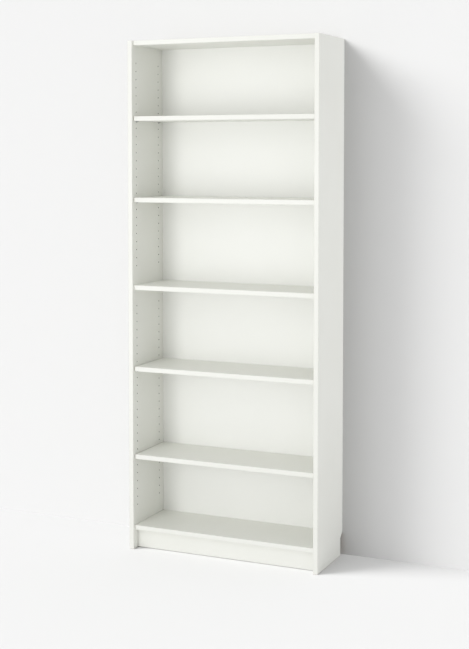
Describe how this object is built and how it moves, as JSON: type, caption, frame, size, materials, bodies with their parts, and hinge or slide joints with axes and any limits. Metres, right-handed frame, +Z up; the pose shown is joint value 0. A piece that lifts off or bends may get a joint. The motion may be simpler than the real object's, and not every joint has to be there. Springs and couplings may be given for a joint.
{
  "type": "tall open bookcase",
  "caption": "Tall narrow white open bookcase with a fixed middle shelf, loose shelves on pins in drilled sides, a set-back plinth and a thin back panel.",
  "frame": {"origin": "on the floor, in the middle of the case's width and depth", "axes": "+X to the right as seen from the front, +Y from the front to the wall, +Z up"},
  "size_m": [0.8, 0.28, 2.0402],
  "materials": {
    "white_board": "particle board covered with smooth satin white foil",
    "white_hardboard": "thin hardboard, painted satin white in front and raw brown behind",
    "zinc_plated_steel": "bright zinc plate, slightly dulled",
    "zinc_casting": "matt grey die casting",
    "beech": "raw turned beech"
  },
  "bodies": {
    "case": {"side_panel_left": "white_board", "side_panel_right": "white_board", "top_panel": "white_board", "fixed_shelf": "white_board", "bottom_shelf": "white_board", "plinth": "white_board", "back_panel": "white_hardboard", "shelf_pin_1_front_left": "zinc_plated_steel", "shelf_pin_1_rear_left": "zinc_plated_steel", "shelf_pin_1_front_right": "zinc_plated_steel", "shelf_pin_1_rear_right": "zinc_plated_steel", "shelf_pin_2_front_left": "zinc_plated_steel", "shelf_pin_2_rear_left": "zinc_plated_steel", "shelf_pin_2_front_right": "zinc_plated_steel", "shelf_pin_2_rear_right": "zinc_plated_steel", "shelf_pin_3_front_left": "zinc_plated_steel", "shelf_pin_3_rear_left": "zinc_plated_steel", "shelf_pin_3_front_right": "zinc_plated_steel", "shelf_pin_3_rear_right": "zinc_plated_steel", "shelf_pin_4_front_left": "zinc_plated_steel", "shelf_pin_4_rear_left": "zinc_plated_steel", "shelf_pin_4_front_right": "zinc_plated_steel", "shelf_pin_4_rear_right": "zinc_plated_steel", "cam_bolt_top_front_left": "zinc_plated_steel", "cam_bolt_top_rear_left": "zinc_plated_steel", "cam_bolt_top_front_right": "zinc_plated_steel", "cam_bolt_top_rear_right": "zinc_plated_steel", "cam_bolt_middle_front_left": "zinc_plated_steel", "cam_bolt_middle_rear_left": "zinc_plated_steel", "cam_bolt_middle_front_right": "zinc_plated_steel", "cam_bolt_middle_rear_right": "zinc_plated_steel", "cam_bolt_bottom_front_left": "zinc_plated_steel", "cam_bolt_bottom_rear_left": "zinc_plated_steel", "cam_bolt_bottom_front_right": "zinc_plated_steel", "cam_bolt_bottom_rear_right": "zinc_plated_steel", "cam_lock_top_front_left": "zinc_casting", "cam_lock_top_rear_left": "zinc_casting", "cam_lock_top_front_right": "zinc_casting", "cam_lock_top_rear_right": "zinc_casting", "cam_lock_middle_front_left": "zinc_casting", "cam_lock_middle_rear_left": "zinc_casting", "cam_lock_middle_front_right": "zinc_casting", "cam_lock_middle_rear_right": "zinc_casting", "cam_lock_bottom_front_left": "zinc_casting", "cam_lock_bottom_rear_left": "zinc_casting", "cam_lock_bottom_front_right": "zinc_casting", "cam_lock_bottom_rear_right": "zinc_casting", "dowel_top_left": "beech", "dowel_top_right": "beech", "dowel_middle_left": "beech", "dowel_middle_right": "beech", "dowel_bottom_left": "beech", "dowel_bottom_right": "beech", "dowel_plinth_left": "beech", "dowel_plinth_right": "beech", "wall_bracket": "zinc_plated_steel"},
    "loose_shelf_1": {"adjustable_shelf_1": "white_board"},
    "loose_shelf_2": {"adjustable_shelf_2": "white_board"},
    "loose_shelf_3": {"adjustable_shelf_3": "white_board"},
    "loose_shelf_4": {"adjustable_shelf_4": "white_board"}
  },
  "joints": [
    {"name": "shelf_1_draw_out", "type": "slide", "parent": "case", "child": "loose_shelf_1", "axis": [0, -1, 0], "range_m": [0, 0.29]},
    {"name": "shelf_2_draw_out", "type": "slide", "parent": "case", "child": "loose_shelf_2", "axis": [0, -1, 0], "range_m": [0, 0.29]},
    {"name": "shelf_3_draw_out", "type": "slide", "parent": "case", "child": "loose_shelf_3", "axis": [0, -1, 0], "range_m": [0, 0.29]},
    {"name": "shelf_4_draw_out", "type": "slide", "parent": "case", "child": "loose_shelf_4", "axis": [0, -1, 0], "range_m": [0, 0.29]}
  ]
}
